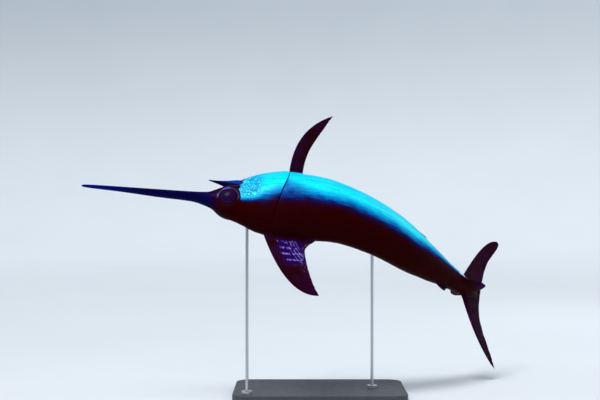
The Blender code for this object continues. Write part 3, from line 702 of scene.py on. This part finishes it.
def joinSkin():
    # one Boolean union, then the facts of the nearest old point, then smooth roots
    bodyPoints = rowsOf(body.data.vertices, "co", 3)
    finPoints = np.concatenate([rowsOf(piece.data.vertices, "co", 3) for piece, _ in growths])
    finFacts = {key: np.concatenate([fact[key] for _, fact in growths]) for key in growths[0][1]}
    group = bpy.data.collections.new("growths")
    bpy.context.scene.collection.children.link(group)
    for piece, _ in growths:
        bpy.context.scene.collection.objects.unlink(piece)
        group.objects.link(piece)
    change = body.modifiers.new("join", "BOOLEAN")
    change.operation = "UNION"
    change.operand_type = "COLLECTION"
    change.collection = group
    change.solver = "MANIFOLD"
    graph = bpy.context.evaluated_depsgraph_get()
    mesh = bpy.data.meshes.new_from_object(body.evaluated_get(graph))
    print("joined:", len(mesh.vertices), "points")
    for piece in (body, *group.objects):
        bpy.data.objects.remove(piece)
    bpy.data.collections.remove(group)

    points = rowsOf(mesh.vertices, "co", 3)
    fromBody, toBody = nearest(points, bodyPoints)
    fromFin, toFin = nearest(points, finPoints)
    seam = (toBody > 1e-6) & (toFin > 1e-6)
    print("seam:", seam.sum(), "points")
    away = nearest(points, points[seam])[1]
    isFin = toFin <= 1e-6
    nearFin = isFin | (away < 0.015)
    facts = {key: values[fromBody] for key, values in bodyFacts.items()}
    for key in ("ray", "reach", "sail"):
        facts[key] = np.where(nearFin, finFacts[key][fromFin], 0)
    facts["grown"] = np.where(isFin, finFacts["grown"][fromFin], -away)
    weight = held(1 - away / smoothing["rootWidth"]) * smoothing["rootShare"]
    belowLip = mouthAngle(np.minimum(facts["along"], 0)) - facts["angle"]
    jawJoint = held(1 - np.abs(facts["along"]) / smoothing["jawWidth"]) * ease(belowLip, 0.10, 0.35)
    weight = np.maximum(weight, jawJoint * (1 - facts["inside"]) * (away > 0.05) * 0.8)
    ends = rowsOf(mesh.edges, "vertices", 2, int)
    ends = ends[(away[ends] < 0.035).any(1) | (weight[ends] > 0).any(1)]
    links = np.bincount(ends.reshape(-1), minlength=len(points)).clip(1)

    def spread(values, factor):
        total = np.zeros_like(values)
        np.add.at(total, ends[:, 0], values[ends[:, 1]])
        np.add.at(total, ends[:, 1], values[ends[:, 0]])
        mean = (total.T / links).T
        return values + ((mean - values).T * factor).T

    still = weight * 0
    still[isFin & (away < 0.03)] = 0.5
    for _ in range(smoothing["passes"]):
        points = spread(points, weight)
        for key in ("along", "angle"):
            facts[key] = spread(facts[key], still)
        facts["grown"] = spread(facts["grown"], np.minimum(weight, 0.4))
    mesh.vertices.foreach_set("co", points.reshape(-1))
    mesh.update()
    return mesh, facts, points


skinData, facts, skinCo = joinSkin()
markings = {
    "edge": (  # s, height in degrees at which the pale belly turns into the dark back; the line is partly the fish's own two-tone skin and partly painted light, with the pale side facing up to the light and the dark side facing down into shade
        (-0.018, -125), (0.003, 15), (0.045, 14), (0.100, 6), (0.150, -1), (0.240, -1), (0.480, 2),
        (0.730, 4), (0.860, -5), (1.000, -15), (1.100, -20), (1.160, -30), (1.215, -120),
    ),
    "behindGill": ((0.100, 1), (0.170, 1), (0.215, 0), (0.270, -1), (0.900, 0)),
    "range": 60,  # degrees to each side of the edge that the colours cover
    "arc": 0.11,  # metres of skin for each radian round the body
}


def drawMarkings():
    s, angle = facts["along"], np.degrees(facts["angle"])
    front = np.abs(s) < 0.06
    shift = 0.007 * cloudAt(skinCo, 0.016, front, 3) - 0.034 * ease(angle, -38, -78)
    ragged = s + ease(s, 0.06, 0.03) * shift
    past = s - gillEdges(facts["angle"])[1]
    behind = ease(past, -0.0006, 0.0010) * ease(s, 0.27, 0.25)
    edge = smoothRows(markings["edge"], ragged)
    edge = edge + (smoothRows(markings["behindGill"], s) - edge) * behind
    bare = ease(facts["grown"], 0.004, -0.001)
    # painted shade on the skin just behind the gill cover's rear edge
    patch = ease(past, -0.0004, 0.0012) * ease(past, 0.140, 0.045) * bare
    fromEyes = []
    for seat in eyeSeats.values():
        reach, height = aroundSeat(seat, skinCo)
        fromEyes.append(reach + 9 * (np.abs(height) > 0.05))
    drawn = {name: facts[name] for name in ("grown", "ray", "reach", "sail", "crease", "inside")}
    drawn.update(
        along=s,
        arc=facts["angle"] * markings["arc"],
        rise=(angle - edge) / markings["range"] / 2 + 0.5,
        cheek=ease(s, 0.100, 0.050) * bare,
        # painted shade behind the gill cover, narrowing tailward
        patch=patch * ease(angle, 170 * past - 40, 170 * past - 22),
        # painted shade in the gill slot just behind the cover's rear edge
        slot=bump(past, 0.0018, 0.0018) * ease(angle, -84, -70) * ease(angle, 50, 30),
        # painted highlight along the eye's rim, only on the side that faces up to the light
        rim=bump(np.minimum(*fromEyes), eye["radius"] + 0.0042, 0.0030) * ease(angle, 20, 2),
        bill=ease(s, -0.07, -0.14),
        jaw=ease(ragged, 0.004, -0.002) * ease(angle + np.degrees(-mouthAngle(np.minimum(s, 0))), 6, -2),
    )
    for name, values in drawn.items():
        layer = skinData.attributes.new(name, "FLOAT", "POINT")
        layer.data.foreach_set("value", np.asarray(values, np.float32))


drawMarkings()
skinData.name = "skin"
skin = newPiece("skin", skinData)
skinData.shade_smooth()
flesh = [name for name in frame["nodes"] if not name.startswith(("eye_", "stand_"))]
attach(skin, "root")
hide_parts(*flesh)
print("skin in place of", len(flesh), "solids")


def paint(red, green, blue):
    # the linear colour of a tone given in display values, 0 to 255
    def linear(value):
        value /= 255
        return value / 12.92 if value <= 0.04045 else ((value + 0.055) / 1.055) ** 2.4

    return (linear(red), linear(green), linear(blue), 1.0)


class Wiring:
    # short calls for adding and linking the nodes of one material or group
    def __init__(self, tree):
        self.tree = tree
        self.column = 0

    def add(self, kind, settings=None, **inputs):
        node = self.tree.nodes.new(kind)
        node.location = (self.column * 190 - 2400, -(self.column % 4) * 260)
        self.column += 1
        for name, value in (settings or {}).items():
            setattr(node, name, value)
        self.feed(node, **inputs)
        return node

    def feed(self, node, **inputs):
        # in0 is a node's first socket, and other names are the sockets' own
        for name, value in inputs.items():
            socket = node.inputs[int(name[2:]) if name.startswith("in") else name.replace("_", " ")]
            if isinstance(value, bpy.types.NodeSocket):
                self.tree.links.new(value, socket)
            else:
                socket.default_value = value

    def use(self, group, **inputs):
        return self.add("ShaderNodeGroup", {"node_tree": group}, **inputs).outputs

    def here(self):
        return self.add("ShaderNodeTexCoord").outputs["Object"]

    def math(self, operation, *values):
        inputs = {f"in{number}": value for number, value in enumerate(values)}
        return self.add("ShaderNodeMath", {"operation": operation}, **inputs).outputs[0]

    def product(self, first, *others):
        for other in others:
            first = self.math("MULTIPLY", first, other)
        return first

    def fact(self, name):
        return self.add("ShaderNodeAttribute", {"attribute_name": name}).outputs["Fac"]

    def vector(self, x, y, z=0.0):
        return self.add("ShaderNodeCombineXYZ", X=x, Y=y, Z=z).outputs[0]

    def noise(self, where, scale, detail=3.0, roughness=0.5):
        node = self.add("ShaderNodeTexNoise", Vector=where, Scale=scale, Detail=detail, Roughness=roughness)
        return node.outputs["Fac"]

    def band(self, value, low, high, out=(0.0, 1.0)):
        node = self.add("ShaderNodeMapRange", {"interpolation_type": "SMOOTHSTEP"},
                        in0=value, in1=low, in2=high, in3=out[0], in4=out[1])
        return node.outputs[0]

    def mix(self, share, first, second, blend="MIX"):
        settings = {"data_type": "RGBA", "blend_type": blend, "clamp_factor": True}
        return self.add("ShaderNodeMix", settings, in0=share, in6=first, in7=second).outputs[2]

    def ramp(self, value, stops):
        node = self.add("ShaderNodeValToRGB", in0=value)
        elements = node.color_ramp.elements
        while len(elements) < len(stops):
            elements.new(0.5)
        for element, (position, tone) in zip(elements, stops):
            element.position = position
            element.color = paint(*tone)
        return node.outputs["Color"]

    def bump(self, height, distance, strength):
        node = self.add("ShaderNodeBump", Height=height, Distance=distance, Strength=strength)
        return node.outputs["Normal"]


def effectGroup(name, inputs, build):
    # a group's inputs are numbers, or places where no value is given, and its outputs are numbers
    group = bpy.data.node_groups.new(name, "ShaderNodeTree")
    for label, value in inputs.items():
        kind = "NodeSocketVector" if value is None else "NodeSocketFloat"
        socket = group.interface.new_socket(name=label, in_out="INPUT", socket_type=kind)
        if value is not None:
            socket.default_value = value
    wire = Wiring(group)
    made = build(wire, wire.add("NodeGroupInput").outputs)
    for label in made:
        group.interface.new_socket(name=label, in_out="OUTPUT", socket_type="NodeSocketFloat")
    wire.feed(wire.add("NodeGroupOutput"), **made)
    return group


def buildGrain(wire, given):
    # fine tooth of a painted or moulded surface, with a slow change of sheen
    fine = wire.noise(given["Place"], given["Scale"], 4.0, 0.6)
    slow = wire.noise(given["Place"], wire.product(given["Scale"], 0.04), 2.0)
    sheen = wire.math("ADD", wire.product(fine, 0.3), wire.product(slow, 0.7))
    return {"Fine": fine, "Slow": slow, "Sheen": sheen}


def buildStreaks(wire, given):
    # long thin lines that follow the body, a few of them strong
    where = wire.vector(wire.product(given["Along"], given["Stretch"]), given["Arc"])
    thin = wire.noise(where, given["Scale"], 3.0, 0.65)
    few = wire.band(wire.noise(where, wire.product(given["Scale"], 0.45), 1.0), 0.56, 0.66)
    return {"Thin": thin, "Few": few}


grainGroup = effectGroup("fine grain", {"Place": None, "Scale": 600.0}, buildGrain)
streakGroup = effectGroup(
    "body streaks", {"Along": 0.0, "Arc": 0.0, "Stretch": 0.05, "Scale": 160.0}, buildStreaks)


def newMaterial(name, **settings):
    material = bpy.data.materials.new(name)
    material.use_nodes = True
    wire = Wiring(material.node_tree)
    shader = material.node_tree.nodes["Principled BSDF"]
    wire.feed(shader, **settings)
    return material, wire, shader


skinLook = {
    "ramp": (  # degrees from the edge, tone: the fish's own pale belly and dark back, with a painted highlight band on the pale side near the edge and painted shade deepening the dark back
        (-60, (0, 196, 238)), (-32, (4, 222, 246)), (-18, (12, 238, 252)), (-9, (6, 188, 228)),
        (-2, (5, 125, 202)), (5, (8, 44, 116)), (10, (26, 8, 62)), (16, (38, 2, 16)), (28, (42, 1, 2)),
        (60, (40, 1, 2)),
    ),
    "tail": (24, 150, 214), "glint": (206, 244, 255),
    # the bright streak tone is painted sheen along the body's thin streaks
    "dullStreak": (4, 140, 198), "sheenStreak": (96, 250, 255),
    # the first two tones are painted shade behind the gill cover's rear edge, lighter on the pale side and
    # darker near the border; the crease tone mottles the cheek and is also painted shade along its creases
    "patch": (6, 92, 184), "gillShadeLow": (10, 22, 108), "crease": (0, 104, 168), "speck": (150, 250, 255),
    "bill": (10, 1, 44), "billLight": (6, 8, 74), "billTip": (0, 20, 108), "jaw": (0, 50, 142),
    # the rim tone is a painted highlight on the eye's rim, and the slot tone is painted shade in the gill
    # slot
    "rim": (84, 104, 190), "slot": (60, 110, 170), "inside": (24, 8, 82),
    "fin": (32, 1, 18), "finLight": (56, 8, 66), "finDark": (37, 2, 8), "sailRoot": (34, 3, 92),
    # the dash tone paints highlights on the sail's lattice, and pale scribbles in the gill shade
    "dash": (136, 120, 205), "fleck": (116, 84, 128),
    "rowGap": 0.026,  # metres between the rows of dashes on the sail
}


def skinMaterial():
    material, wire, shader = newMaterial("wet skin", Coat_Roughness=0.22, Specular_IOR_Level=0.008)
    here = wire.here()
    along, arc, rise, grown, ray, reach, sail, cheek, crease, patch, slot, inside, rim, bill, jaw = map(
        wire.fact, "along arc rise grown ray reach sail cheek crease patch slot inside rim bill jaw".split())
    tint = {name: paint(*tone) for name, tone in skinLook.items() if name not in ("ramp", "rowGap")}
    grain = wire.use(grainGroup, Place=here, Scale=520.0)
    streaks = wire.use(streakGroup, Along=along, Arc=arc, Stretch=0.045, Scale=300.0)
    blotch = wire.noise(here, 26.0, 3.0)
    times, band, mix = wire.product, wire.band, wire.mix

    def layered(under, *layers):
        # tones laid one over another, each as far as its share says
        for share, name in layers:
            under = mix(share, under, tint[name])
        return under

    # belly, sides and back: their own pale and dark tones, painted lighter on the side facing up and darker
    # on the side facing down, as light from above falls
    shift = times(wire.math("SUBTRACT", blotch, 0.5), band(cheek, 0, 1, (0.08, 0.03)))
    shift = wire.math("ADD", shift, times(wire.math("SUBTRACT", streaks["Thin"], 0.5),
                                          band(cheek, 0, 1, (0.20, 0.05))))
    sharp = band(cheek, 0, 1, (1.0, 1.9))
    tone = wire.math("MULTIPLY_ADD", wire.math("SUBTRACT", rise, 0.5), sharp, wire.math("ADD", shift, 0.5))
    span = markings["range"]
    base = wire.ramp(tone, [((at + span) / span / 2, shade) for at, shade in skinLook["ramp"]])
    pale = band(tone, 0.50, 0.36)
    glint = times(band(along, 1.10, 1.12), band(along, 1.180, 1.160), band(rise, 0.54, 0.50),
                  band(rise, 0.38, 0.44), band(streaks["Thin"], 0.32, 0.46))
    base = layered(
        base,
        (times(band(along, 0.74, 1.05), pale, 0.7), "tail"),
        (times(streaks["Few"], pale, 0.5), "dullStreak"),
        # painted sheen along the thin streaks of the pale side
        (times(band(streaks["Thin"], 0.56, 0.70), pale, 0.25), "sheenStreak"),
        (glint, "glint"),
    )
    # painted shade behind the gill cover: lighter blue on the pale side, darker towards the border, varied by
    # blotches
    shade = times(patch, band(tone, 0.60, 0.50))
    gillShadeTone = layered(tint["patch"], (band(tone, 0.36, 0.50), "gillShadeLow"))
    base = mix(times(shade, band(blotch, 0.30, 0.60, (0.95, 0.70))), base, gillShadeTone)
    mottle = wire.noise(here, 190.0, 3.0, 0.6)
    amount = band(cheek, 0, 1, (0.12, 0.85))
    base = layered(
        base,
        (times(shade, band(streaks["Thin"], 0.60, 0.68), 0.5), "dash"),
        (times(band(mottle, 0.50, 0.38), pale, amount), "crease"),
        (times(band(mottle, 0.57, 0.66), pale, amount), "speck"),
        # painted shade along the cheek's creases
        (times(crease, pale, 0.95), "crease"),
    )

    # bill, jaw, painted highlight on the eye rim, painted shade in the gill slot, and mouth
    billTone = layered(tint["bill"], (blotch, "billLight"), (band(along, -0.36, -0.62), "billTip"))
    base = layered(mix(bill, base, billTone), (jaw, "jaw"),
                   (times(rim, band(blotch, 0.38, 0.55, (0.15, 0.9))), "rim"))
    # painted shade: the slot tone is multiplied into the gill slot
    base = layered(mix(times(slot, 0.9), base, tint["slot"], "MULTIPLY"), (inside, "inside"))

    # fins, with a lattice of pale dashes on the sail painted as highlights, and flecks near its trailing edge
    crest = wire.math("PINGPONG", ray, 0.5)  # 0 on a ray, 0.5 between two
    thread = wire.math("PINGPONG", times(ray, 0.5), 0.5)
    spotty = wire.noise(here, 75.0, 2.0)
    rows = times(grown, 2 * math.pi / skinLook["rowGap"])
    rows = wire.math("COSINE", wire.math("MULTIPLY_ADD", spotty, 1.2, rows))
    wander = wire.math("MULTIPLY_ADD", wire.noise(here, 32.0, 2.0), 10.0, wire.math("SUBTRACT", ray, 5.0))
    field = times(sail, band(wander, 5.5, 10.0), band(grown, 0.012, 0.020), band(grown, 0.130, 0.105))
    dash = times(band(rows, 0.30, 0.90), band(thread, 0.45, 0.10, (0.35, 1.0)), band(ray, 20.5, 18.0))
    line = times(band(thread, 0.22, 0.06), band(ray, 13.0, 15.0), band(ray, 21.0, 19.0), 0.8)
    flecks = times(band(wire.noise(here, 170.0, 2.0), 0.54, 0.62), sail, band(reach, 0.66, 0.80),
                   band(reach, 1.0, 0.95), band(ray, 8.0, 16.0), 0.8)
    finTone = layered(
        tint["fin"],
        (band(crest, 0.35, 0.0), "finLight"),
        (band(blotch, 0.35, 0.65), "finDark"),
        (times(field, band(ray, 28.0, 20.0), 0.8), "sailRoot"),
        # painted highlights: the sail's lattice of pale dashes and ray lines
        (times(wire.math("MAXIMUM", dash, line), field, band(spotty, 0.38, 0.56)), "dash"),
        (flecks, "fleck"),
    )
    fin = band(grown, -0.0002, 0.0042)
    base = mix(fin, base, finTone)

    rough = band(grain["Sheen"], 0.3, 0.7, (0.34, 0.50))
    across = wire.noise(wire.vector(times(ray, 0.02), reach), 260.0, 2.0)
    height = wire.math("MULTIPLY_ADD", streaks["Thin"], wire.math("MULTIPLY_ADD", fin, -0.5, 0.5),
                       times(grain["Fine"], 0.35))
    height = wire.math("MULTIPLY_ADD", across, times(fin, 0.5), height)
    wire.feed(shader, Base_Color=base, Roughness=wire.math("MULTIPLY_ADD", fin, 0.08, rough),
              Coat_Weight=wire.math("MULTIPLY_ADD", pale, 0.045, 0.003),
              Normal=wire.bump(height, 0.0009, 0.5))
    return material


skinData.materials.clear()
skinData.materials.append(skinMaterial())
print("skin painted")

eyeLook = {
    "rings": 40, "turns": 96, "pupil": 0.58, "iris": 0.88, "clear": 0.0004,
    "ramp": (  # share of the radius, tone
        (0.00, (20, 2, 44)), (0.52, (24, 3, 50)), (0.60, (36, 5, 64)), (0.74, (38, 3, 44)),
        (0.86, (38, 1, 18)), (0.93, (35, 2, 20)), (1.00, (30, 2, 18)),
    ),
}


def makeEye(name, seat):
    # flattened ball whose front has a shallow ring round the pupil
    shape = bmesh.new()
    bmesh.ops.create_uvsphere(shape, u_segments=eyeLook["turns"], v_segments=eyeLook["rings"] * 2, radius=1)
    wide, thick = (eye[key] - eyeLook["clear"] for key in ("radius", "halfThickness"))
    radii = []
    for vertex in shape.verts:
        reach = math.hypot(vertex.co.x, vertex.co.y)
        front = vertex.co.z > 0
        dip = 0.022 * float(bump(reach, (eyeLook["pupil"] + eyeLook["iris"]) / 2, 0.11)) if front else 0
        radii.append(reach if front else 2 - reach)
        vertex.co = (vertex.co.x * wide, vertex.co.y * wide, (vertex.co.z - dip) * thick)
    shape.transform(seat @ Matrix.Translation((0, 0, -eye["sunk"])))
    mesh = meshOf(name, shape)
    mesh.attributes.new("reach", "FLOAT", "POINT").data.foreach_set("value", radii)
    mesh.shade_smooth()
    return newPiece(name, mesh)


def eyeMaterial():
    material, wire, shader = newMaterial(
        "dark eye", Roughness=0.5, Coat_Weight=0.035, Coat_Roughness=0.05, Specular_IOR_Level=0.02)
    here = wire.here()
    reach = wire.fact("reach")
    fibres = wire.noise(here, 380.0, 4.0, 0.7)
    place = wire.math("ADD", reach, wire.product(wire.math("SUBTRACT", fibres, 0.5), 0.07))
    grain = wire.use(grainGroup, Place=here, Scale=900.0)
    wire.feed(shader, Base_Color=wire.ramp(place, eyeLook["ramp"]),
              Normal=wire.bump(grain["Slow"], 0.0002, 0.3))
    return material


eyeSkin = eyeMaterial()
for name, side in (("eye_left", 1), ("eye_right", -1)):
    piece = makeEye(name.replace("_", ""), eyeSeats[side])
    piece.data.materials.append(eyeSkin)
    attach(piece, "root")
    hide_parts(name)
print("eyes set")


def baseMaterial():
    material, wire, shader = newMaterial("charcoal paint", Specular_IOR_Level=0.4)
    grain = wire.use(grainGroup, Place=wire.here(), Scale=900.0)
    wire.feed(shader, Base_Color=wire.mix(grain["Slow"], paint(58, 60, 66), paint(72, 74, 80)),
              Roughness=wire.band(grain["Sheen"], 0.3, 0.7, (0.48, 0.62)),
              Normal=wire.bump(grain["Fine"], 0.0003, 0.5))
    return material


def rodMaterial():
    material, wire, shader = newMaterial("brushed steel", Metallic=1.0)
    squeezed = wire.add("ShaderNodeMapping", Vector=wire.here(), Scale=(1.0, 1.0, 0.02)).outputs[0]
    grain = wire.use(grainGroup, Place=squeezed, Scale=2600.0)
    wire.feed(shader, Base_Color=wire.mix(grain["Fine"], paint(168, 170, 174), paint(206, 208, 212)),
              Roughness=wire.band(grain["Fine"], 0.3, 0.7, (0.22, 0.40)),
              Normal=wire.bump(grain["Fine"], 0.0001, 0.4))
    return material


steel = rodMaterial()
for name, material in (("stand_base", baseMaterial()), ("stand_rod_front", steel), ("stand_rod_rear", steel)):
    node = frame["nodes"][name]
    if not node.data.materials:
        node.data.materials.append(material)
    for slot in node.material_slots:
        slot.material = material
print("stand finished")

stage = {
    "floorRadius": 11.0, "coveRadius": 4.0, "wallTop": 9.0,
    "turns": 96, "camera": (-0.08, -4.7967, 0.80), "lens": 70, "sensor": 36,
    "sun": ((-0.25, -0.30, 1.0), 2.1, 24),  # where it stands, strength, degrees that it looks across
    "lights": (  # place, what it looks at, size in metres, watts, tone
        ((-0.9, -1.2, 3.2), (0.0, 0.1, 0.8), 0.9, 22, (1.0, 0.99, 0.97)),
        ((3.2, 3.0, 2.8), (0.2, 0.1, 0.7), 1.8, 26, (0.94, 0.97, 1.0)),
    ),
    "world": {"Color": (0.86, 0.93, 1.0, 1.0), "Strength": 0.42},
}


def makeStage():
    # round floor that curves up into a wall beyond every camera
    shape = bmesh.new()
    flat = stage["floorRadius"]
    cove = stage["coveRadius"]
    profile = [(0.0, 0.0), (flat, 0.0)]
    for turn in np.linspace(0.1, math.pi / 2, 14):
        profile.append((flat + cove * math.sin(turn), cove - cove * math.cos(turn)))
    profile.append((flat + cove, stage["wallTop"]))
    points = [shape.verts.new((r, 0, z)) for r, z in profile]
    edges = [shape.edges.new(pair) for pair in zip(points, points[1:])]
    bmesh.ops.spin(shape, geom=points + edges, cent=(0, 0, 0), axis=(0, 0, 1), angle=2 * math.pi,
                   steps=stage["turns"], use_merge=True)
    bmesh.ops.remove_doubles(shape, verts=shape.verts, dist=1e-4)
    bmesh.ops.recalc_face_normals(shape, faces=shape.faces)
    mesh = meshOf("floor", shape)
    mesh.shade_smooth()
    floor = newPiece("floor", mesh)
    material, wire, shader = newMaterial("pale floor", Roughness=0.6, Specular_IOR_Level=0.2)
    soft = wire.noise(wire.here(), 0.8, 2.0)
    wire.feed(shader, Base_Color=wire.mix(soft, paint(214, 220, 226), paint(220, 226, 231)))
    mesh.materials.append(material)


def addLight(name, kind, way, **settings):
    # a light that shines against the way given
    data = bpy.data.lights.new(name, kind)
    for key, value in settings.items():
        setattr(data, key, value)
    light = newPiece(name, data)
    light.rotation_euler = way.to_track_quat("Z", "Y").to_euler()
    return light


def makeLights():
    for number, (place, aim, size, watts, tint) in enumerate(stage["lights"]):
        way = Vector(place) - Vector(aim)
        light = addLight(
            f"soft light {number}", "AREA", way, shape="DISK", size=size, energy=watts, color=tint)
        light.location = place
    way, strength, spread = stage["sun"]
    addLight("overhead light", "SUN", Vector(way), energy=strength, angle=math.radians(spread))
    world = bpy.data.worlds.new("studio")
    bpy.context.scene.world = world
    world.use_nodes = True
    background = world.node_tree.nodes["Background"]
    for label, value in stage["world"].items():
        background.inputs[label].default_value = value


def makeCamera():
    data = bpy.data.cameras.new("camera")
    data.lens = stage["lens"]
    data.sensor_width = stage["sensor"]
    data.clip_end = 60
    camera = newPiece("camera", data)
    camera.location = stage["camera"]
    camera.rotation_euler = (math.radians(90), 0, 0)
    bpy.context.scene.camera = camera
    bpy.context.scene.view_settings.view_transform = "Standard"


makeStage()
makeLights()
makeCamera()
print("stage, lights and camera ready")
